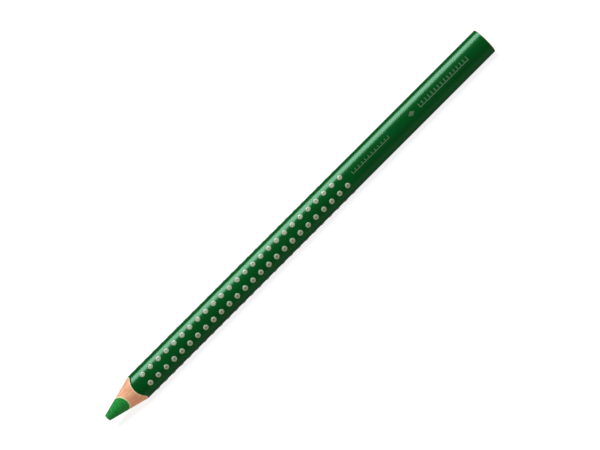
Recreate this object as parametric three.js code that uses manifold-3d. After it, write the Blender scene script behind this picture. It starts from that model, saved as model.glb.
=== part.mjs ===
// A sharpened jumbo colouring pencil with a rounded three-sided barrel.
// The barrel lies along X on one of its three faces, with its tip towards -X.
// Z = 0 is the surface it rests on, and X = Y = 0 is the middle of its length and width.
// Units are millimetres. The section of the barrel lies in the YZ plane.
import * as THREE from "three";
import { mergeVertices } from "three/addons/utils/BufferGeometryUtils.js";
import Module from "manifold-3d";

const wasm = await Module();
wasm.setup();

// Barrel: three crowned faces, joined by three round corners.
const LENGTH = 175;
const FACE_RADIUS = 5.82;
const CORNER_RADIUS = 3.2;
const CORNER_OFFSET = 1.87; // from the barrel's axis to the centre of a corner's arc
const FACE_COUNT = 3;
const CORNER_STEPS = 8;

// Sharpened end.
const CONE_HALF_ANGLE = THREE.MathUtils.degToRad(14.55);
const TIP_RADIUS = 1.15; // the worn flat at the very tip
const CONE_STEPS = 42;

// Core, and the glue that holds it and the two slats together.
const LEAD_RADIUS = 2.75;
const LEAD_OFFSET = { front: 0.68, down: 0.14 }; // the core is off centre, towards the front face
const LEAD_STEPS = 32;
const SLEEVE_THICKNESS = 0.1;
const BOND_THICKNESS = 0.06;
const BOND_GAP = 0.01;

// Coats on the wood, from the outside inwards.
const CLEAR_THICKNESS = 0.04;
const COLOUR_THICKNESS = 0.08;
const PRIMER_THICKNESS = 0.1;

// Raised grip dots: two rows on each face.
const DOT_RADIUS = 0.94;
const DOT_HEIGHT = 0.3;
const DOT_SHOULDER = { radius: 0.62, height: 0.22 };
const DOT_STEPS = 8;
const DOTS_PER_ROW = 26;
const DOT_PITCH = 3.628;
const FIRST_DOT = 18.79; // from the tip to the centre of the first dot
const ROW_OFFSET = 1.93; // from the middle of a face to the middle of a row
const ROW_FILM = { width: 2, thickness: 0.04 }; // thin clear varnish under the dots of a row

// Plain foil marks on the front face, without letters.
const FOIL_THICKNESS = 0.02;
const LONG_SCALE = { start: 144.2, ticks: 16, pitch: 1.45, width: 0.35, height: 1.6 };
const SHORT_SCALE = { start: 113.4, ticks: 12, pitch: 1.5, width: 0.3, height: 1.1 };
const LOZENGE = { middle: 140.7, length: 2.6, height: 1.7 };

const PRINT_GAP = 0.005; // between a print or foil and the coat below it

// Directions in the YZ plane, as angles from +Y towards +Z.
const FRONT = (5 * Math.PI) / 6;
const BACK = Math.PI / 6;
const UNDERSIDE = -Math.PI / 2;

const gloss = (color, roughness) => new THREE.MeshStandardMaterial({ color, roughness, metalness: 0 });

const MATERIALS = {
  lead: gloss(0x1b8739, 0.6),
  wood: gloss(0xe3ab86, 0.75),
  glue: gloss(0xd9dcae, 0.6),
  primer: gloss(0xebd9b4, 0.7),
  colour: gloss(0x00451a, 0.3),
  clear: gloss(0x004d1e, 0.12),
  dots: gloss(0xa3b196, 0.45),
  foil: new THREE.MeshStandardMaterial({ color: 0x6d8f74, roughness: 0.4, metalness: 0.6 }),
};

// The centre of a face's arc lies behind the barrel's axis, so that it runs smoothly into the corners.
const FACE_SETBACK =
  Math.sqrt((FACE_RADIUS - CORNER_RADIUS) ** 2 - 0.75 * CORNER_OFFSET ** 2) - CORNER_OFFSET / 2;
const FACE_HALF_ANGLE = Math.asin((Math.sqrt(0.75) * CORNER_OFFSET) / (FACE_RADIUS - CORNER_RADIUS));

// The point of a face's outline, as [across, outwards], where the surface has turned by angle
// from the middle of the face.
function outlinePoint(angle) {
  if (angle < FACE_HALF_ANGLE) {
    return [FACE_RADIUS * Math.sin(angle), FACE_RADIUS * Math.cos(angle) - FACE_SETBACK];
  }
  return [
    Math.sqrt(0.75) * CORNER_OFFSET + CORNER_RADIUS * Math.sin(angle),
    CORNER_OFFSET / 2 + CORNER_RADIUS * Math.cos(angle),
  ];
}

// Half of one face's outline, from its middle to the tip of a corner.
// The steps leave one flat under each row of dots and one along the middle of the face.
function halfSide() {
  const points = [outlinePoint(Math.asin((ROW_OFFSET - DOT_RADIUS) / FACE_RADIUS))];
  const firstAngle = Math.asin((ROW_OFFSET + DOT_RADIUS) / FACE_RADIUS);
  const lastAngle = Math.PI / FACE_COUNT;
  for (let i = 0; i <= CORNER_STEPS / 2; i++) {
    points.push(outlinePoint(THREE.MathUtils.lerp(firstAngle, lastAngle, (2 * i) / CORNER_STEPS)));
  }
  return points;
}

// The polar angles of one third of the outline, measured from the middle of the face.
function sideAngles() {
  const half = halfSide().map(([across, outwards]) => Math.atan2(across, outwards));
  const mirrored = half.slice(0, -1).map((angle) => -angle);
  return [...mirrored.reverse(), ...half];
}

// Distance from the axis to the barrel's outline, lowered by inset, at an angle from a face's middle.
function barrelRadius(angle, inset) {
  const faceRadius = FACE_RADIUS - inset;
  const joint = Math.atan2(
    faceRadius * Math.sin(FACE_HALF_ANGLE),
    faceRadius * Math.cos(FACE_HALF_ANGLE) - FACE_SETBACK,
  );
  const turn = Math.abs(angle);
  if (turn < joint) {
    const reach = Math.sqrt(faceRadius ** 2 - (FACE_SETBACK * Math.sin(turn)) ** 2);
    return reach - FACE_SETBACK * Math.cos(turn);
  }
  const fromCorner = Math.PI / FACE_COUNT - turn;
  const reach = Math.sqrt((CORNER_RADIUS - inset) ** 2 - (CORNER_OFFSET * Math.sin(fromCorner)) ** 2);
  return CORNER_OFFSET * Math.cos(fromCorner) + reach;
}

// The whole outline as points of the YZ plane.
function barrelOutline(inset) {
  const points = [];
  for (let face = 0; face < FACE_COUNT; face++) {
    const middle = UNDERSIDE + (face * 2 * Math.PI) / FACE_COUNT;
    for (const angle of sideAngles()) {
      const radius = barrelRadius(angle, inset);
      points.push(
        new THREE.Vector2(radius * Math.cos(middle + angle), radius * Math.sin(middle + angle)),
      );
    }
  }
  return points;
}

// A circle round the core's own axis.
function coreOutline(radius) {
  const centre = new THREE.Vector2(LEAD_OFFSET.front, LEAD_OFFSET.down);
  centre.rotateAround(new THREE.Vector2(), FRONT);
  return Array.from({ length: LEAD_STEPS }, (_, i) => {
    const angle = (i * 2 * Math.PI) / LEAD_STEPS;
    return new THREE.Vector2(centre.x + radius * Math.cos(angle), centre.y + radius * Math.sin(angle));
  });
}

// manifold-3d solid of a three.js geometry.
function solid(geometry) {
  const bare = geometry.clone();
  bare.deleteAttribute("normal");
  bare.deleteAttribute("uv");
  const merged = mergeVertices(bare, 1e-5);
  const vertProperties = new Float32Array(merged.attributes.position.array);
  const triVerts = new Uint32Array(merged.index.array);
  return new wasm.Manifold(new wasm.Mesh({ numProp: 3, vertProperties, triVerts }));
}

// three.js geometry of a manifold-3d solid.
function geometryOf(manifold) {
  const { vertProperties, triVerts } = manifold.getMesh();
  const geometry = new THREE.BufferGeometry();
  geometry.setAttribute("position", new THREE.BufferAttribute(vertProperties, 3));
  geometry.setIndex(new THREE.BufferAttribute(triVerts, 1));
  const faceted = geometry.toNonIndexed();
  faceted.computeVertexNormals();
  return faceted;
}

// An outline of the YZ plane, less an optional inner outline, extruded along X from the tip to the butt.
function extrudeAlongBarrel(outline, hole) {
  const shape = new THREE.Shape(outline);
  if (hole) shape.holes.push(new THREE.Path(hole));
  const geometry = new THREE.ExtrudeGeometry(shape, { depth: LENGTH, bevelEnabled: false });
  // Extrusion runs along Z: turn X, Y, Z into Y, Z, X.
  geometry.applyMatrix4(new THREE.Matrix4().set(0, 0, 1, 0, 1, 0, 0, 0, 0, 1, 0, 0, 0, 0, 0, 1));
  return solid(geometry.translate(-LENGTH / 2, 0, 0));
}

// Everything that the sharpener leaves: a cone with a flat tip, then a wide cylinder.
function sharpenedSpace() {
  const wide = 2 * (CORNER_OFFSET + CORNER_RADIUS);
  const margin = 1;
  const coneLength = (wide - TIP_RADIUS) / Math.tan(CONE_HALF_ANGLE);
  const profile = [
    new THREE.Vector2(0, 0),
    new THREE.Vector2(TIP_RADIUS, 0),
    new THREE.Vector2(wide, coneLength),
    new THREE.Vector2(wide, LENGTH + margin),
    new THREE.Vector2(0, LENGTH + margin),
  ];
  const geometry = new THREE.LatheGeometry(profile, CONE_STEPS);
  geometry.rotateZ(-Math.PI / 2);
  return solid(geometry.translate(-LENGTH / 2, 0, 0));
}

// A block over the whole length, between two distances from the axis towards a direction.
// side is 0 for both sides of the axis, or 1 or -1 for one of them.
function block(direction, from, to, side = 0) {
  const reach = 3 * CORNER_RADIUS;
  const width = side ? reach : 2 * reach;
  const geometry = new THREE.BoxGeometry(LENGTH + 2, to - from, width);
  geometry.translate(0, (from + to) / 2, (side * width) / 2);
  return solid(geometry.rotateX(direction));
}

const pencil = new THREE.Group();
pencil.name = "pencil";

function addPiece(name, geometry, material) {
  const mesh = new THREE.Mesh(geometry, material);
  mesh.name = name;
  pencil.add(mesh);
  return mesh;
}

// Core, slats and glue.
const sharpened = sharpenedSpace();
const primerInset = CLEAR_THICKNESS + COLOUR_THICKNESS;
const woodInset = primerInset + PRIMER_THICKNESS;
const grooveOutline = coreOutline(LEAD_RADIUS + SLEEVE_THICKNESS);

const ring = (outer, inner) => extrudeAlongBarrel(outer, inner).intersect(sharpened);

function addCore() {
  addPiece("lead_core", geometryOf(ring(coreOutline(LEAD_RADIUS))), MATERIALS.lead);
  const sleeve = ring(grooveOutline, coreOutline(LEAD_RADIUS));
  addPiece("lead_glue_sleeve", geometryOf(sleeve), MATERIALS.glue);
}

function addSlats() {
  const wood = ring(barrelOutline(woodInset), grooveOutline);
  const far = 2 * CORNER_RADIUS;
  const low = LEAD_OFFSET.front - BOND_THICKNESS / 2;
  const high = LEAD_OFFSET.front + BOND_THICKNESS / 2;
  const front = wood.intersect(block(FRONT, high + BOND_GAP, far));
  const rear = wood.intersect(block(FRONT, -far, low - BOND_GAP));
  const topBond = wood.intersect(block(FRONT, low, high, -1));
  const bottomBond = wood.intersect(block(FRONT, low, high, 1));
  addPiece("front_wood_slat", geometryOf(front), MATERIALS.wood);
  addPiece("rear_wood_slat", geometryOf(rear), MATERIALS.wood);
  addPiece("top_glue_line", geometryOf(topBond), MATERIALS.glue);
  addPiece("bottom_glue_line", geometryOf(bottomBond), MATERIALS.glue);
}

function addCoats() {
  const coats = [
    ["primer_coat", primerInset, woodInset, MATERIALS.primer],
    ["colour_coat", CLEAR_THICKNESS, primerInset, MATERIALS.colour],
    ["clear_coat", 0, CLEAR_THICKNESS, MATERIALS.clear],
  ];
  for (const [name, outerInset, innerInset, material] of coats) {
    const shell = ring(barrelOutline(outerInset), barrelOutline(innerInset));
    addPiece(name, geometryOf(shell), material);
  }
}

// The flat that carries a row of dots: its middle, and its tilt from the face's own direction.
function rowFlat() {
  const [inner, outer] = halfSide();
  return {
    across: (inner[0] + outer[0]) / 2,
    outwards: (inner[1] + outer[1]) / 2,
    tilt: Math.atan2(inner[1] - outer[1], outer[0] - inner[0]),
  };
}

// One row of domes, standing on a thin film that lies on the plane Y = 0.
function dotRow() {
  const foot = ROW_FILM.thickness;
  const dome = new THREE.LatheGeometry(
    [
      new THREE.Vector2(0, foot),
      new THREE.Vector2(DOT_RADIUS, foot),
      new THREE.Vector2(DOT_SHOULDER.radius, DOT_SHOULDER.height),
      new THREE.Vector2(0, DOT_HEIGHT),
    ],
    DOT_STEPS,
  );
  const rowLength = (DOTS_PER_ROW - 1) * DOT_PITCH;
  const start = FIRST_DOT - LENGTH / 2;
  const filmLength = rowLength + ROW_FILM.width;
  const film = new THREE.BoxGeometry(filmLength, ROW_FILM.thickness, ROW_FILM.width);
  let row = solid(film.translate(start + rowLength / 2, ROW_FILM.thickness / 2, 0));
  for (let i = 0; i < DOTS_PER_ROW; i++) {
    row = row.add(solid(dome.clone().translate(start + i * DOT_PITCH, 0, 0)));
  }
  return geometryOf(row);
}

// side is 1 for the row on the counter-clockwise side of the middle of the face, or -1 for the other.
function addDotRow(name, direction, side) {
  const flat = rowFlat();
  const row = addPiece(name, dotRow(), MATERIALS.dots);
  const normal = direction + side * flat.tilt;
  const middle = new THREE.Vector2(flat.outwards, side * flat.across);
  middle.rotateAround(new THREE.Vector2(), direction);
  row.position.y = middle.x + PRINT_GAP * Math.cos(normal);
  row.position.z = middle.y + PRINT_GAP * Math.sin(normal);
  row.rotation.x = normal;
}

function addDots() {
  const faces = { front: FRONT, back: BACK, underside: UNDERSIDE };
  for (const [face, direction] of Object.entries(faces)) {
    addDotRow(`${face}_grip_dots_1`, direction, 1);
    addDotRow(`${face}_grip_dots_2`, direction, -1);
  }
}

// A baseline with short ticks standing on it, as one outline.
function scaleShape({ ticks, pitch, width, height }) {
  const shape = new THREE.Shape();
  shape.moveTo(0, 0);
  shape.lineTo((ticks - 1) * pitch + width, 0);
  for (let i = ticks - 1; i >= 0; i--) {
    const left = i * pitch;
    shape.lineTo(left + width, height);
    shape.lineTo(left, height);
    if (i > 0) {
      shape.lineTo(left, width);
      shape.lineTo(left - pitch + width, width);
    }
  }
  return shape;
}

function lozengeShape({ length, height }) {
  return new THREE.Shape([
    new THREE.Vector2(-length / 2, 0),
    new THREE.Vector2(0, -height / 2),
    new THREE.Vector2(length / 2, 0),
    new THREE.Vector2(0, height / 2),
  ]);
}

// Foil lies on the flat along the middle of the front face.
function addFoil(name, shape, start, lift) {
  const geometry = new THREE.ExtrudeGeometry(shape, { depth: FOIL_THICKNESS, bevelEnabled: false });
  geometry.translate(start - LENGTH / 2, lift, halfSide()[0][1] + PRINT_GAP);
  const mesh = addPiece(name, geometry, MATERIALS.foil);
  mesh.rotation.x = FRONT - Math.PI / 2;
}

function addFoils() {
  addFoil("foil_scale_long", scaleShape(LONG_SCALE), LONG_SCALE.start, -LONG_SCALE.height / 2);
  addFoil("foil_scale_short", scaleShape(SHORT_SCALE), SHORT_SCALE.start, -SHORT_SCALE.height / 2);
  addFoil("foil_lozenge", lozengeShape(LOZENGE), LOZENGE.middle, 0);
}

// The pencil rests on the dots of its underside, on the side of each that is nearest to the middle.
function restHeight() {
  const flat = rowFlat();
  const lift = PRINT_GAP + DOT_SHOULDER.height;
  return flat.outwards + lift * Math.cos(flat.tilt) + DOT_SHOULDER.radius * Math.sin(flat.tilt);
}

addCore();
addSlats();
addCoats();
addDots();
addFoils();
pencil.position.z = restHeight();

export default pencil;
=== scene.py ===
"""A sharpened jumbo colouring pencil with a rounded three-sided barrel, on a pale studio floor.

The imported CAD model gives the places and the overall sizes. Every visible piece is built again
here as a fine closed mesh with its own procedural material, and stands for the CAD nodes that it
replaces. Lengths in this script are millimetres in the frame's axes, turned into metres as each
mesh is made.
"""

import math
import random

import bmesh
import bpy
from mathutils import Matrix, Vector, noise


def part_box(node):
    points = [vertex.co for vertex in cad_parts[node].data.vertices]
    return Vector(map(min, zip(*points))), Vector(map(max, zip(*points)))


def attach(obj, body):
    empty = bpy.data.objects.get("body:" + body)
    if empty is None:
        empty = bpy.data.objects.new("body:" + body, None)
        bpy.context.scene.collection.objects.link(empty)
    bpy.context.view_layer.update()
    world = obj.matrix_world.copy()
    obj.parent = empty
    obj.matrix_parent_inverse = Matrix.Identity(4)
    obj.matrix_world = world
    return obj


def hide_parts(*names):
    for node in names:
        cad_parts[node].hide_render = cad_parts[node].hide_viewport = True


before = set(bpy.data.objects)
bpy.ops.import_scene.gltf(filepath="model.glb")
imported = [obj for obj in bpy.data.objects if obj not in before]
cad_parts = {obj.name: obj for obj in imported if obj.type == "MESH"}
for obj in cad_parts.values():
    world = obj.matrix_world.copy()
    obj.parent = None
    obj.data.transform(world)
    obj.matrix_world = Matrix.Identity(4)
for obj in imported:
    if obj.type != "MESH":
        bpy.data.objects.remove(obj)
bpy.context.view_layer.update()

MM = 0.001
TAU = 2 * math.pi

# ---------------------------------------------------------------- driving dimensions, in millimetres

# The barrel's section: three shallow arcs, joined by three tighter arcs at the corners.
FACE_RADIUS = 5.82
CORNER_RADIUS = 3.2
CORNER_OFFSET = 1.87  # from the axis to the centre of a corner's arc

# Thicknesses of the coats, of the glue round the core and of the glue between the slats.
CLEAR = 0.04
COLOUR = 0.08
PRIMER = 0.1
SLEEVE = 0.1
BOND = 0.06

CONE_ANGLE = math.radians(14.55)
TIP_RADIUS = 1.15
LEAD_RADIUS = 2.75
LEAD_FORWARD = 0.68  # from the axis to the core's centre, towards the front face
LEAD_DOWN = 0.14  # and down, along that face

DOT_RADIUS = 0.93
DOT_HEIGHT = 0.26
PIT_DEPTH = 0.34  # as a share of a dot's height
ROW_ARC = 1.95  # from the middle of a face to a row of dots, along the surface
DOTS_PER_ROW = 26

# Directions in the YZ plane, from +Y towards +Z.
FACES = {"front": math.radians(150), "back": math.radians(30), "underside": math.radians(-90)}
FRONT = FACES["front"]

# Places that come from the frame.
X_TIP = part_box("lead_core")[0].x / MM
X_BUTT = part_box("lead_core")[1].x / MM
AXIS_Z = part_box("clear_coat")[1].z / MM - CORNER_OFFSET - CORNER_RADIUS


def direction(angle):
    """A unit vector of the section."""
    return Vector((math.cos(angle), math.sin(angle)))


AXIS = Vector((0.0, 0.0))
LEAD_CENTRE = LEAD_FORWARD * direction(FRONT) + LEAD_DOWN * direction(FRONT + math.pi / 2)


def wobble(x, y=0.0, z=0.0, seed=0.0):
    """Smooth noise from -1 to 1."""
    return noise.noise(Vector((x + 17.3 * seed, y - 5.1 * seed, z + 9.7 * seed)))


# ---------------------------------------------------------------- section of the barrel

# A face's arc is centred SETBACK behind the axis and spans FACE_HALF to each side of its middle,
# where it runs into the corner arcs.
CORNER_ASIDE = CORNER_OFFSET * math.sin(math.pi / 3)
SETBACK = math.sqrt((FACE_RADIUS - CORNER_RADIUS) ** 2 - CORNER_ASIDE**2) - CORNER_OFFSET / 2
FACE_HALF = math.asin(CORNER_ASIDE / (FACE_RADIUS - CORNER_RADIUS))


def section_arcs():
    """The outline's arcs as (centre, radius, direction of its middle, half angle)."""
    arcs = []
    for middle in FACES.values():
        arcs.append((-SETBACK * direction(middle), FACE_RADIUS, middle, FACE_HALF))
        corner = middle + math.pi / 3
        arcs.append((CORNER_OFFSET * direction(corner), CORNER_RADIUS, corner, math.pi / 3 - FACE_HALF))
    return arcs


ARCS = section_arcs()


def turn_between(a, b):
    """The angle from b to a, from -pi to pi."""
    return (a - b + math.pi) % TAU - math.pi


def outline_reach(origin, angle, inset):
    """Distance from origin to the barrel's outline, lowered by inset, along a direction.

    The ray meets the circle of every arc. The hit that counts is the one that misses its arc's own
    span by the least, or lies deepest inside it.
    """
    ray = direction(angle)
    best = None
    for centre, radius, middle, half in ARCS:
        offset = origin - centre
        along = offset.dot(ray)
        root = along**2 - offset.length_squared + (radius - inset) ** 2
        if root < 0:
            continue
        reach = math.sqrt(root) - along
        normal = origin + reach * ray - centre
        miss = abs(turn_between(math.atan2(normal.y, normal.x), middle)) - half
        if best is None or miss < best[0]:
            best = (miss, reach)
    return best[1]


def face_point(middle, arc, lift):
    """A point lift above a face, arc millimetres round it from the face's middle."""
    normal = direction(middle + arc / FACE_RADIUS)
    return -SETBACK * direction(middle) + (FACE_RADIUS + lift) * normal


def even_angles(count):
    """count directions, evenly round the section."""
    return [TAU * i / count for i in range(count)]


# ---------------------------------------------------------------- the sharpened and the cut end

def cone_x(point, lift=0.0):
    """Where a line along the barrel meets the sharpened cone. lift raises the cone's surface."""
    return X_TIP + (point.length - TIP_RADIUS) / math.tan(CONE_ANGLE) - lift / math.sin(CONE_ANGLE)


def point3(x, section_point):
    """The point of space at x along the barrel, over a point of the section."""
    return Vector((x, section_point.x, section_point.y + AXIS_Z))


# ---------------------------------------------------------------- mesh making

def make_piece(name, vertices, faces, material, slot, replaces, sharp_angle=35):
    """A smooth-shaded closed mesh from points in millimetres, riding on the root body."""
    mesh = bpy.data.meshes.new(name)
    mesh.from_pydata([v * MM for v in vertices], [], faces)
    fixed = bmesh.new()
    fixed.from_mesh(mesh)
    bmesh.ops.recalc_face_normals(fixed, faces=fixed.faces)
    fixed.to_mesh(mesh)
    fixed.free()
    mesh.shade_smooth()
    mesh.set_sharp_from_angle(angle=math.radians(sharp_angle))
    mesh.materials.append(material)
    piece = bpy.data.objects.new(name, mesh)
    bpy.context.scene.collection.objects.link(piece)
    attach(piece, "root")
    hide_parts(*replaces)
    return piece


def skin_columns(columns, closed):
    """Vertices and faces of a solid, from loops of points that each go round one cut through it."""
    size = len(columns[0])
    vertices = [point for column in columns for point in column]
    faces = []
    pairs = len(columns) if closed else len(columns) - 1
    for k in range(pairs):
        here = k * size
        there = (k + 1) % len(columns) * size
        for i in range(size):
            j = (i + 1) % size
            faces.append((here + i, here + j, there + j, there + i))
    if not closed:
        faces.append(tuple(range(size)))
        faces.append(tuple((len(columns) - 1) * size + i for i in reversed(range(size))))
    return vertices, faces


def spread(start, end, count):
    """count values strictly between start and end."""
    return [start + (end - start) * i / (count + 1) for i in range(1, count + 1)]


def layer_column(origin, angle, inner, outer, head, tail, rings, lengths):
    """One cut through a layer: along its cone face, its outside, its butt face and back."""
    ray = direction(angle)
    low = inner(angle)
    high = outer(angle)
    radial = [origin + (low + (high - low) * i / rings) * ray for i in range(rings + 1)]
    rim = radial[-1]
    column = [point3(head(p), p) for p in radial]
    column += [point3(x, rim) for x in spread(head(rim), tail(rim), lengths)]
    column += [point3(tail(p), p) for p in reversed(radial)]
    return column


def layer_mesh(origin, angles, inner, outer, head, tail, closed=True, rings=4, lengths=1):
    """A layer between an inner and an outer outline, from head on the cone to tail at the butt."""
    columns = [layer_column(origin, a, inner, outer, head, tail, rings, lengths) for a in angles]
    return skin_columns(columns, closed)


# ---------------------------------------------------------------- procedural materials

class Shader:
    """A Principled material, and short calls for the nodes that feed it."""

    def __init__(self, name, **sockets):
        self.material = bpy.data.materials.new(name)
        self.material.use_nodes = True
        self.tree = self.material.node_tree
        self.principled = self.tree.nodes["Principled BSDF"]
        for socket, value in sockets.items():
            self.principled.inputs[socket.replace("_", " ")].default_value = value
        self.coordinates = self.add("ShaderNodeTexCoord").outputs["Object"]

    def add(self, kind, **settings):
        node = self.tree.nodes.new(kind)
        for key, value in settings.items():
            setattr(node, key, value)
        return node

    def feed(self, node, socket, value):
        if isinstance(value, bpy.types.NodeSocket):
            self.tree.links.new(value, node.inputs[socket])
        else:
            node.inputs[socket].default_value = value

    def stretched(self, sizes):
        """Coordinates in which a feature of the given size in millimetres, per axis, has size 1."""
        mapping = self.add("ShaderNodeMapping")
        self.feed(mapping, "Vector", self.coordinates)
        mapping.inputs["Scale"].default_value = [1 / (size * MM) for size in sizes]
        return mapping.outputs["Vector"]

    def noise(self, sizes, detail=3.0, roughness=0.55, distortion=0.0):
        node = self.add("ShaderNodeTexNoise")
        self.feed(node, "Vector", self.stretched(sizes))
        self.feed(node, "Scale", 1.0)
        self.feed(node, "Detail", detail)
        self.feed(node, "Roughness", roughness)
        self.feed(node, "Distortion", distortion)
        return node.outputs["Fac"]

    def ramp(self, fac, stops):
        """stops is a list of (position, colour or grey value)."""
        node = self.add("ShaderNodeValToRGB")
        self.feed(node, "Fac", fac)
        elements = node.color_ramp.elements
        while len(elements) < len(stops):
            elements.new(0.5)
        for element, (position, colour) in zip(elements, stops):
            element.position = position
            shade = colour if isinstance(colour, tuple) else (colour,) * 3
            element.color = (*shade, 1)
        return node.outputs["Color"]

    def mix(self, fac, a, b, blend="MIX"):
        """Colour a blended with colour b. A Mix node takes colours at 6 and 7 and gives one at 2."""
        node = self.add("ShaderNodeMix", data_type="RGBA", blend_type=blend)
        self.feed(node, 0, fac)
        for socket, value in ((6, a), (7, b)):
            self.feed(node, socket, (*value, 1) if isinstance(value, tuple) else value)
        return node.outputs[2]

    def math(self, operation, a, b=0.0):
        node = self.add("ShaderNodeMath", operation=operation)
        self.feed(node, 0, a)
        self.feed(node, 1, b)
        return node.outputs[0]

    def from_axis(self, centre):
        """Distance in millimetres from a line along the barrel through a point of the section."""
        mapping = self.add("ShaderNodeMapping")
        self.feed(mapping, "Vector", self.coordinates)
        mapping.inputs["Location"].default_value = (0, -centre.x, -(centre.y + AXIS_Z))
        mapping.inputs["Scale"].default_value = (0, 1 / MM, 1 / MM)
        length = self.add("ShaderNodeVectorMath", operation="LENGTH")
        self.feed(length, 0, mapping.outputs["Vector"])
        return length.outputs["Value"]

    def bump(self, height, depth_mm, under=None):
        """A normal from a height map, on top of another normal if there is one under it."""
        node = self.add("ShaderNodeBump")
        self.feed(node, "Height", height)
        self.feed(node, "Distance", depth_mm * MM)
        if under is not None:
            self.feed(node, "Normal", under)
        return node.outputs["Normal"]

    def paint(self, socket, value):
        self.feed(self.principled, socket, value)


def lacquer_material():
    """Deep gloss lacquer: slight colour drift, orange peel, and wood grain telegraphing through."""
    s = Shader("green_gloss_lacquer", IOR=1.5, Specular_Tint=(0.45, 1.0, 0.66, 1))
    drift = s.noise((14, 3, 3), detail=2)
    s.paint("Base Color", s.ramp(drift, [(0.3, (0.0, 0.074, 0.0095)), (0.7, (0.0, 0.088, 0.0125))]))
    gloss = s.noise((3, 0.6, 0.6), detail=4)
    s.paint("Roughness", s.ramp(gloss, [(0.3, 0.22), (0.75, 0.26)]))
    grain = s.bump(s.noise((14, 0.4, 0.4), detail=2), 0.003)
    s.paint("Normal", s.bump(s.noise((1.2, 0.8, 0.8), detail=1), 0.001, under=grain))
    return s.material


def wood_material():
    """Raw pinkish softwood: rings, fibres, short dark pores, and a trace of pigment beside the core."""
    s = Shader("raw_wood", IOR=1.55)
    rings = s.noise((45, 1.3, 0.55), detail=2, distortion=0.4)
    tone = s.ramp(rings, [
        (0.25, (0.73, 0.32, 0.165)),
        (0.5, (0.87, 0.425, 0.235)),
        (0.75, (0.93, 0.54, 0.335)),
    ])
    fibres = s.noise((1.6, 0.2, 0.2), detail=4, roughness=0.65)
    tone = s.mix(0.6, tone, s.ramp(fibres, [(0.3, 0.6), (0.6, 1.0)]), "MULTIPLY")
    pores = s.noise((0.8, 0.16, 0.16), detail=1)
    tone = s.mix(s.ramp(pores, [(0.66, 0.0), (0.76, 0.55)]), tone, (0.30, 0.11, 0.05))
    far = 4.0
    distance = s.math("DIVIDE", s.from_axis(LEAD_CENTRE), far)
    stain = s.ramp(distance, [(2.8 / far, 0.3), (2.96 / far, 0.0)])
    tone = s.mix(stain, tone, (0.62, 0.60, 0.30))
    s.paint("Base Color", tone)
    s.paint("Roughness", s.ramp(fibres, [(0.3, 0.62), (0.7, 0.48)]))
    marks = s.bump(s.noise((0.14, 2.5, 2.5), detail=2), 0.008)
    s.paint("Normal", s.bump(fibres, 0.03, under=marks))
    return s.material


def lead_material():
    """Waxy pigment core: mottled green with sharpening lines, a little sheen and crumbs."""
    s = Shader("green_pigment_core", IOR=1.3)
    mottle = s.noise((0.8, 0.45, 0.45), detail=5, roughness=0.6)
    tone = s.ramp(mottle, [
        (0.3, (0.002, 0.165, 0.018)),
        (0.5, (0.006, 0.270, 0.036)),
        (0.72, (0.022, 0.370, 0.060)),
    ])
    cuts = s.noise((0.10, 3.0, 3.0), detail=3)
    tone = s.mix(0.5, tone, s.ramp(cuts, [(0.3, 0.62), (0.65, 1.0)]), "MULTIPLY")
    s.paint("Base Color", tone)
    s.paint("Roughness", s.ramp(mottle, [(0.3, 0.7), (0.7, 0.5)]))
    lines = s.bump(cuts, 0.02)
    s.paint("Normal", s.bump(s.noise((0.22, 0.22, 0.22), detail=4), 0.03, under=lines))
    return s.material


def glue_material():
    """Pale yellow-green dried glue."""
    s = Shader("dried_glue", IOR=1.45)
    patches = s.noise((0.8, 0.5, 0.5), detail=3)
    s.paint("Base Color", s.ramp(patches, [(0.3, (0.50, 0.60, 0.30)), (0.7, (0.80, 0.82, 0.55))]))
    s.paint("Roughness", s.ramp(patches, [(0.3, 0.5), (0.7, 0.35)]))
    s.paint("Normal", s.bump(patches, 0.01))
    return s.material


def primer_material():
    """Chalky cream undercoat."""
    s = Shader("cream_undercoat", IOR=1.45)
    patches = s.noise((0.6, 0.4, 0.4), detail=3)
    s.paint("Base Color", s.ramp(patches, [(0.3, (0.62, 0.46, 0.27)), (0.7, (0.82, 0.67, 0.44))]))
    s.paint("Roughness", s.ramp(patches, [(0.3, 0.7), (0.7, 0.5)]))
    s.paint("Normal", s.bump(patches, 0.01))
    return s.material


def dot_material():
    """Tacky satin varnish with fine glass-like grains, and a painted shade that darkens the pit of each
    dot.
    """
    s = Shader("grip_dot_varnish", IOR=1.7)
    pit_shade_mask = s.add("ShaderNodeAttribute", attribute_name="pit_and_painted_shade").outputs["Fac"]
    grains = s.noise((0.12, 0.12, 0.12), detail=3)
    tone = s.ramp(grains, [(0.3, (0.31, 0.39, 0.28)), (0.7, (0.42, 0.52, 0.39))])
    # Painted shade: a dark colour in each pit stands in for the shade that falls in the hollow.
    s.paint("Base Color", s.mix(pit_shade_mask, tone, (0.07, 0.045, 0.035)))
    s.paint("Roughness", s.ramp(grains, [(0.3, 0.26), (0.7, 0.18)]))
    s.paint("Normal", s.bump(grains, 0.008))
    return s.material


def foil_material():
    """Muted grey-green stamping foil, thin enough for the lacquer to show through in specks."""
    s = Shader("muted_foil", IOR=1.5)
    specks = s.noise((0.16, 0.16, 0.16), detail=3)
    worn = s.ramp(specks, [(0.36, 1.0), (0.5, 0.0)])
    s.paint("Base Color", s.mix(worn, (0.20, 0.32, 0.20), (0.01, 0.085, 0.03)))
    s.paint("Metallic", s.ramp(specks, [(0.4, 0.0), (0.5, 0.55)]))
    s.paint("Roughness", s.ramp(specks, [(0.3, 0.5), (0.7, 0.3)]))
    s.paint("Normal", s.bump(specks, 0.004))
    return s.material


# ---------------------------------------------------------------- the pieces

SEAM = BOND / 2 / (LEAD_RADIUS + SLEEVE)  # half of a glue line's angle, from the core's centre


def core_reach(angle):
    """Distance from the barrel's axis to the core's surface, along a direction of the section."""
    along = -LEAD_CENTRE.dot(direction(angle))
    return math.sqrt(along**2 - LEAD_CENTRE.length_squared + LEAD_RADIUS**2) - along


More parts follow.
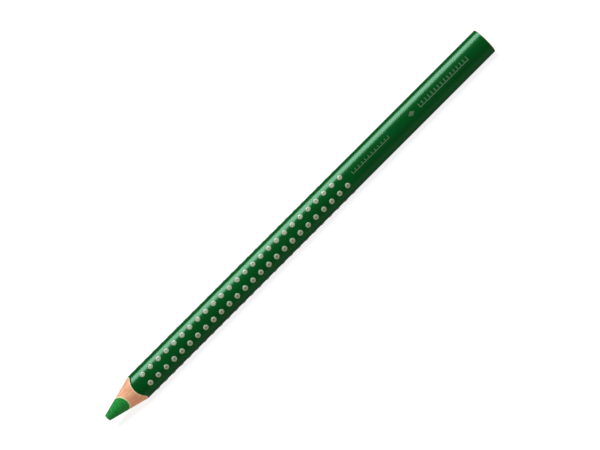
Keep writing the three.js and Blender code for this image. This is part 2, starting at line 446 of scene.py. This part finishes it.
def sleeve_radius(angle):
    """The glue's outer edge, seen from the core's centre: a little uneven."""
    ray = direction(angle)
    return LEAD_RADIUS + SLEEVE + 0.025 * wobble(2.2 * ray.x, 2.2 * ray.y, seed=1)


def primer_edge(angle):
    """How far the undercoat's outer face lies below the barrel's surface."""
    ray = direction(angle)
    return CLEAR + COLOUR + 0.02 * wobble(5 * ray.x, 5 * ray.y, seed=2)


def wood_edge(angle):
    """How far the wood's surface lies below the barrel's surface."""
    ray = direction(angle)
    return CLEAR + COLOUR + PRIMER + 0.03 * wobble(6 * ray.x, 6 * ray.y, seed=3)


def butt_x(point):
    """The sawn end, very slightly uneven."""
    return X_BUTT - 0.02 - 0.012 * wobble(1.3 * point.x, 1.3 * point.y, seed=4)


def wood_outline(angle):
    """The wood's outer edge, from the core's centre."""
    return outline_reach(LEAD_CENTRE, angle, wood_edge(angle))


def wood_head(point):
    """The cone face of the wood, with fine ridges that run towards the tip."""
    relief = 0.012 * wobble(cone_x(point) / 2.5, point.x / 0.22, point.y / 0.22, seed=5)
    return cone_x(point, relief)


def lead_head(point):
    """The core's worn tip, slightly tilted and uneven, rounded into its side of the cone."""
    tilt = Vector((0.02, -0.05))
    rounding = 0.08
    wear = 0.02 + 0.03 * wobble(point.x * 1.5, point.y * 1.5, seed=6)
    flat = X_TIP + tilt.dot(point) + wear
    relief = 0.02 * wobble(cone_x(point) / 0.9, point.x / 0.5, point.y / 0.5, seed=7)
    cone = cone_x(point, relief)
    return max(X_TIP, 0.5 * (flat + cone + math.sqrt((flat - cone) ** 2 + rounding**2)))


def build_lead():
    """The core: tip and cone, the cylinder inside the wood, and the sawn end."""
    tip_rings, cone_rings, butt_rings = 10, 56, 4
    columns = []
    for angle in even_angles(144):
        ray = direction(angle)
        rim = core_reach(angle)
        steps = [TIP_RADIUS * i / tip_rings for i in range(1, tip_rings + 1)]
        steps += spread(TIP_RADIUS, rim, cone_rings - 1) + [rim]
        front = [point3(lead_head(r * ray), r * ray) for r in steps]
        sawn = [rim * (1 - i / butt_rings) * ray for i in range(butt_rings)]
        back = [point3(butt_x(p), p) for p in sawn]
        columns.append([*front, (front[-1] + back[0]) / 2, *back])
    vertices = [point3(lead_head(AXIS), AXIS)]
    vertices += [point for column in columns for point in column]
    vertices.append(point3(butt_x(AXIS), AXIS))
    size = len(columns[0])
    faces = []
    for k in range(len(columns)):
        here = 1 + k * size
        there = 1 + (k + 1) % len(columns) * size
        faces.append((0, here, there))
        faces += [(here + i, here + i + 1, there + i + 1, there + i) for i in range(size - 1)]
        faces.append((here + size - 1, len(vertices) - 1, there + size - 1))
    make_piece("lead", vertices, faces, lead_material(), "lead", ["lead_core"])


def build_sleeve(material):
    """The glue round the core, seen as a pale ring on the cone."""
    def head(point):
        return cone_x(point, 0.01 * wobble(point.x * 4, point.y * 4, seed=8))

    mesh = layer_mesh(
        LEAD_CENTRE, even_angles(144), lambda angle: LEAD_RADIUS, sleeve_radius, head, butt_x
    )
    make_piece("lead_glue", *mesh, material, "glue", ["lead_glue_sleeve"])


def build_bonds(material):
    """The two thin glue lines between the slats."""
    for side, turn in (("top", -1), ("bottom", 1)):
        middle = FRONT + turn * math.pi / 2
        mesh = layer_mesh(
            LEAD_CENTRE, [middle - SEAM, middle, middle + SEAM], sleeve_radius, wood_outline,
            cone_x, butt_x, closed=False, rings=24,
        )
        make_piece(f"glue_line_{side}", *mesh, material, "glue", [f"{side}_glue_line"])


def build_wood(material):
    """Two grooved slats, glued together on the plane through the core that faces the front."""
    steps = 110
    step = (math.pi - 2 * SEAM) / steps
    for side, middle in (("front", FRONT), ("rear", FRONT + math.pi)):
        start = middle - math.pi / 2 + SEAM
        mesh = layer_mesh(
            LEAD_CENTRE, [start + step * i for i in range(steps + 1)], sleeve_radius, wood_outline,
            wood_head, butt_x, closed=False, rings=48,
        )
        make_piece(f"wood_slat_{side}", *mesh, material, "wood", [f"{side}_wood_slat"])


def build_primer():
    """The undercoat, seen as a cream line between the wood and the lacquer."""
    short = 0.04  # of the sawn end

    def head(point):
        return cone_x(point, 0.012 * wobble(point.x * 5, point.y * 5, seed=9))

    def tail(point):
        return butt_x(point) - short - 0.03 * wobble(point.x * 3, point.y * 3, seed=10)

    mesh = layer_mesh(
        AXIS, even_angles(240),
        lambda angle: outline_reach(AXIS, angle, wood_edge(angle)),
        lambda angle: outline_reach(AXIS, angle, primer_edge(angle)),
        head, tail, lengths=2,
    )
    make_piece("undercoat", *mesh, primer_material(), "primer", ["primer_coat"])


def lacquer_reach(angle, x):
    """The lacquer's outside, with the slow unevenness of a sprayed coat."""
    ray = direction(angle)
    wave = 0.006 * wobble(x / 9, ray.x * 2.5, ray.y * 2.5, seed=11)
    return outline_reach(AXIS, angle, -wave)


def chip(angle, seed):
    """How far the lacquer's edge strays: a slow wander with fine nicks."""
    ray = direction(angle)
    nicks = 0.02 * wobble(ray.x * 30, ray.y * 30, seed=seed)
    return 0.05 * wobble(ray.x * 9, ray.y * 9, seed=seed) + nicks


def build_lacquer():
    """The green coat: fine outside surface, a thin rounded lip at each end."""
    lip = 0.03
    undercut = 0.04  # of the lip, at the cone
    bared = 0.06  # undercoat that shows beyond the lacquer, at the cone
    short = 0.2  # of the sawn end
    border = 0.2  # from each end to the even rings
    rings = 110
    columns = []
    for angle in even_angles(288):
        ray = direction(angle)
        low = outline_reach(AXIS, angle, primer_edge(angle))
        high = outline_reach(AXIS, angle, 0)
        inner = low * ray
        middle = (low + high) / 2 * ray
        rim = (high - lip) * ray
        cone_chip = chip(angle, 12)
        start = cone_x(high * ray) + bared + cone_chip
        end = X_BUTT - short - chip(angle, 13)
        first, last = start + border, end - border
        outside = [start + lip, first] + spread(first, last, rings) + [last, end - lip]
        columns.append([
            point3(cone_x(inner), inner),
            point3(cone_x(middle) + 0.3 * cone_chip, middle),
            point3(start - undercut, rim),
            *(point3(x, lacquer_reach(angle, x) * ray) for x in outside),
            point3(end, rim),
            point3(end, inner),
        ])
    make_piece(
        "lacquer", *skin_columns(columns, True), lacquer_material(), "clear_lacquer",
        ["colour_coat", "clear_coat"],
    )


# ---------------------------------------------------------------- grip dots

DOT_SEGMENTS = 24
DOT_SUNK = 0.03  # how far the foot of a dot lies under the lacquer
DOT_MARGIN = 1.0  # from the end of a row's box to the centre of its first dot
PAINTED_PIT_SHADE = 0.75  # the most painted shade that a dot's pit takes


def dot_profile():
    """Rings of one dot as (share of its radius, share of its height, share of painted pit shade)."""
    rings = []
    for i in range(9):
        share = 1 - i / 9
        dome = (1 - share**2.2) ** 0.75
        # The pit's shape, which also sets how much painted shade each ring takes.
        pit_and_painted_shade = math.exp(-((share / 0.34) ** 2))
        rings.append((share, dome - PIT_DEPTH * pit_and_painted_shade, pit_and_painted_shade))
    return rings


DOT_PROFILE = dot_profile()


def make_dot(middle, x, arc, chance):
    """Vertices, faces and painted pit shades of one dot: a sunk foot, the profile's rings and a top."""
    x += chance.uniform(-0.025, 0.025)
    arc += chance.uniform(-0.025, 0.025)
    radius = DOT_RADIUS * chance.uniform(0.97, 1.03)
    height = DOT_HEIGHT * chance.uniform(0.93, 1.05)
    pit_shift = (chance.uniform(-0.05, 0.05), chance.uniform(-0.05, 0.05))

    def place(share, angle, lift):
        centring = (1 - share) * radius
        along = share * radius * math.cos(angle) + centring * pit_shift[0]
        across = share * radius * math.sin(angle) + centring * pit_shift[1]
        return point3(x + along, face_point(middle, arc + across, lift))

    loops = [(1.0, -DOT_SUNK, 0.0)]
    loops += [(share, height * rise, pit_and_painted_shade) for share, rise, pit_and_painted_shade in DOT_PROFILE]
    angles = even_angles(DOT_SEGMENTS)
    vertices = [place(share, angle, lift) for share, lift, _ in loops for angle in angles]
    vertices.append(place(0.0, 0.0, height * (1 - PIT_DEPTH)))
    painted_pit_shades = [PAINTED_PIT_SHADE * pit_and_painted_shade for _, _, pit_and_painted_shade in loops for _ in angles] + [PAINTED_PIT_SHADE]

    top = len(vertices) - 1
    last = top - DOT_SEGMENTS
    sides = [(j, (j + 1) % DOT_SEGMENTS) for j in range(DOT_SEGMENTS)]
    faces = []
    for low in range(0, last, DOT_SEGMENTS):
        high = low + DOT_SEGMENTS
        faces += [(low + j, low + k, high + k, high + j) for j, k in sides]
    faces += [(last + j, last + k, top) for j, k in sides]
    faces.append(tuple(reversed(range(DOT_SEGMENTS))))
    return vertices, faces, painted_pit_shades


def build_dots(material):
    """Two rows of raised dots on each face, each dot with a small pit in its top."""
    chance = random.Random(7)
    for face, middle in FACES.items():
        for number, side in ((1, 1), (2, -1)):
            node = f"{face}_grip_dots_{number}"
            low, high = (corner.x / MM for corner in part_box(node))
            pitch = (high - low - 2 * DOT_MARGIN) / (DOTS_PER_ROW - 1)
            vertices, faces, painted_pit_shades = [], [], []
            for i in range(DOTS_PER_ROW):
                x = low + DOT_MARGIN + i * pitch
                dot_vertices, dot_faces, dot_painted_pit_shades = make_dot(middle, x, side * ROW_ARC, chance)
                first = len(vertices)
                vertices += dot_vertices
                faces += [tuple(first + j for j in corners) for corners in dot_faces]
                painted_pit_shades += dot_painted_pit_shades
            name = f"grip_dots_{face}_{number}"
            piece = make_piece(name, vertices, faces, material, "grip_dots", [node], sharp_angle=60)
            # Painted shade: each point's share of the dark pit colour, kept as a mesh attribute.
            pit_and_painted_shade = piece.data.attributes.new("pit_and_painted_shade", "FLOAT", "POINT")
            pit_and_painted_shade.data.foreach_set("value", painted_pit_shades)


# ---------------------------------------------------------------- foil marks

FOIL_THICKNESS = 0.02
FOIL_SUNK = 0.005  # how far its underside lies in the lacquer
LONG_SCALE = {"ticks": 16, "pitch": 1.45, "width": 0.35, "height": 1.6}
SHORT_SCALE = {"ticks": 12, "pitch": 1.5, "width": 0.3, "height": 1.1}
LOZENGE = {"length": 2.6, "height": 1.7}


def scale_tiles(ticks, pitch, width, height):
    """A baseline with short ticks standing on it, as rectangles that share their corners."""
    tiles = []
    for i in range(ticks):
        left = i * pitch
        right = left + width
        tiles.append([(left, 0), (right, 0), (right, width), (left, width)])
        tiles.append([(left, width), (right, width), (right, height), (left, height)])
        if i < ticks - 1:
            following = left + pitch
            tiles.append([(right, 0), (following, 0), (following, width), (right, width)])
    return [[(x, y - height / 2) for x, y in tile] for tile in tiles]


def lozenge_tiles(length, height):
    """One diamond, as a single tile."""
    return [[(0, 0), (length / 2, -height / 2), (length, 0), (length / 2, height / 2)]]


def from_lowest(corners):
    """A face's corner numbers in the same turn, starting from the lowest."""
    start = corners.index(min(corners))
    return corners[start:] + corners[:start]


def build_foil(name, node, tiles, material):
    """Flat tiles, cut into strips, wrapped on the front face and given the foil's thickness."""
    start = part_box(node)[0].x / MM
    mesh = bmesh.new()
    for tile in tiles:
        mesh.faces.new([mesh.verts.new((x, y, 0)) for x, y in tile])
    bmesh.ops.remove_doubles(mesh, verts=mesh.verts[:], dist=0.001)
    top = max(y for tile in tiles for _, y in tile)
    strips = 8
    for i in range(1, strips):
        height = -top + 2 * top * i / strips
        everything = mesh.verts[:] + mesh.edges[:] + mesh.faces[:]
        bmesh.ops.bisect_plane(mesh, geom=everything, plane_co=(0, height, 0), plane_no=(0, 1, 0))
    raised = bmesh.ops.extrude_face_region(mesh, geom=mesh.faces[:])
    for vertex in raised["geom"]:
        if isinstance(vertex, bmesh.types.BMVert):
            vertex.co.z = FOIL_THICKNESS

    # The cuts leave points and faces in an order that changes from run to run, so both are sorted.
    vertices = []
    in_order = sorted(mesh.verts, key=lambda vertex: [round(c, 5) for c in vertex.co])
    for i, vertex in enumerate(in_order):
        vertex.index = i
        point = face_point(FRONT, -vertex.co.y, vertex.co.z - FOIL_SUNK)
        vertices.append(point3(start + vertex.co.x, point))
    faces = [from_lowest([vertex.index for vertex in face.verts]) for face in mesh.faces]
    faces.sort(key=sorted)
    mesh.free()
    make_piece(name, vertices, faces, material, "foil", [node])


def build_foils():
    material = foil_material()
    build_foil("foil_ticks_long", "foil_scale_long", scale_tiles(**LONG_SCALE), material)
    build_foil("foil_ticks_short", "foil_scale_short", scale_tiles(**SHORT_SCALE), material)
    build_foil("foil_lozenge_mark", "foil_lozenge", lozenge_tiles(**LOZENGE), material)


# ---------------------------------------------------------------- floor, light and camera

PICTURE_WIDTH = 196.9  # millimetres across the picture, at the barrel's axis
CAMERA_DISTANCE = 546.0
CAMERA_SIDE = math.radians(152.0)  # direction of the camera from the barrel, in the YZ plane
CENTRING = (1.94, -0.16)  # the picture's middle, from the barrel's middle along it and across it
FLOOR_HALF = 8000.0
FLOOR_GAP = 0.05  # between the floor and the plane that the pencil lies on


def build_camera():
    """Looks at the front face from close by, with the barrel up to the right at 45 degrees."""
    along = Vector((1, 0, 0))
    back = Vector((0, math.cos(CAMERA_SIDE), math.sin(CAMERA_SIDE)))
    across = along.cross(back)
    right = (along + across).normalized()
    up = (along - across).normalized()
    middle = Vector(((X_TIP + X_BUTT) / 2, 0, AXIS_Z))
    target = middle + CENTRING[0] * along + CENTRING[1] * across
    data = bpy.data.cameras.new("camera")
    data.sensor_width = 36
    data.lens = data.sensor_width * CAMERA_DISTANCE / PICTURE_WIDTH
    data.clip_end = 20
    camera = bpy.data.objects.new("camera", data)
    rotation = Matrix((right, up, back)).transposed()
    camera.matrix_world = Matrix.Translation((target + CAMERA_DISTANCE * back) * MM) @ rotation.to_4x4()
    bpy.context.scene.collection.objects.link(camera)
    bpy.context.scene.camera = camera


def build_floor():
    """A pale backlit table, which lights and mirrors nothing in the pencil."""
    half = FLOOR_HALF * MM
    mesh = bpy.data.meshes.new("floor")
    corners = [(-half, -half, 0), (half, -half, 0), (half, half, 0), (-half, half, 0)]
    mesh.from_pydata(corners, [], [(0, 1, 2, 3)])
    s = Shader("pale_floor", Roughness=0.9, Specular_IOR_Level=0.0)
    s.paint("Base Color", s.ramp(s.noise((900, 900, 900)), [(0.0, 0.15), (1.0, 0.16)]))
    s.paint("Emission Color", (1, 1, 1, 1))
    s.paint("Emission Strength", 0.86)
    mesh.materials.append(s.material)
    floor = bpy.data.objects.new("floor", mesh)
    floor.location.z = -FLOOR_GAP * MM
    floor.visible_glossy = False
    floor.visible_diffuse = False
    bpy.context.scene.collection.objects.link(floor)


def add_sun(name, strength, spread_degrees, section_degrees):
    """A round soft light, from a direction of the section."""
    data = bpy.data.lights.new(name, "SUN")
    data.energy = strength
    data.angle = math.radians(spread_degrees)
    sun = bpy.data.objects.new(name, data)
    up = direction(math.radians(section_degrees))
    sun.rotation_mode = "QUATERNION"
    sun.rotation_quaternion = Vector((0, up.x, up.y)).to_track_quat("Z", "Y")
    bpy.context.scene.collection.objects.link(sun)


def sky(tree, stops):
    """A backdrop that changes with height, from -1 straight down to 1 straight up."""
    place = tree.nodes.new("ShaderNodeTexCoord")
    split = tree.nodes.new("ShaderNodeSeparateXYZ")
    ramp = tree.nodes.new("ShaderNodeValToRGB")
    level = tree.nodes.new("ShaderNodeMapRange")
    level.inputs["From Min"].default_value = -1
    background = tree.nodes.new("ShaderNodeBackground")
    elements = ramp.color_ramp.elements
    while len(elements) < len(stops):
        elements.new(0.5)
    for element, (height, shade) in zip(elements, stops):
        element.position = (height + 1) / 2
        element.color = (*shade, 1)
    tree.links.new(place.outputs["Generated"], split.inputs[0])
    tree.links.new(split.outputs["Z"], level.inputs["Value"])
    tree.links.new(level.outputs["Result"], ramp.inputs["Fac"])
    tree.links.new(ramp.outputs["Color"], background.inputs["Color"])
    return background


def build_light():
    """One soft overhead light, and a world that differs for reflections, ambient light and view.

    The lacquer reflects a dim room with a pale band low down. The camera sees plain white.
    """
    add_sun("softbox", strength=2.9, spread_degrees=33, section_degrees=86)
    world = bpy.data.worlds.new("studio")
    bpy.context.scene.world = world
    world.use_nodes = True
    tree = world.node_tree
    rays = tree.nodes.new("ShaderNodeLightPath")
    backdrop = tree.nodes["Background"]
    backdrop.inputs["Color"].default_value = (1, 1, 1, 1)
    reflected = sky(tree, [
        (-0.98, (0.10, 0.10, 0.10)),
        (-0.75, (0.38, 0.38, 0.38)),
        (-0.28, (0.03, 0.03, 0.03)),
        (0.8, (0.01, 0.01, 0.01)),
    ])
    surface = reflected.outputs[0]
    ambient = sky(tree, [
        (-0.28, (0.95, 0.75, 0.62)),
        (-0.06, (0.52, 0.48, 0.45)),
        (0.8, (0.38, 0.38, 0.38)),
    ])
    for flag, shader in (("Is Diffuse Ray", ambient), ("Is Camera Ray", backdrop)):
        choice = tree.nodes.new("ShaderNodeMixShader")
        tree.links.new(rays.outputs[flag], choice.inputs[0])
        tree.links.new(surface, choice.inputs[1])
        tree.links.new(shader.outputs[0], choice.inputs[2])
        surface = choice.outputs[0]
    tree.links.new(surface, tree.nodes["World Output"].inputs["Surface"])
    bpy.context.scene.view_settings.view_transform = "Standard"


build_camera()
build_floor()
build_light()
build_lead()
glue = glue_material()
build_sleeve(glue)
build_bonds(glue)
build_wood(wood_material())
build_primer()
build_lacquer()
build_dots(dot_material())
build_foils()
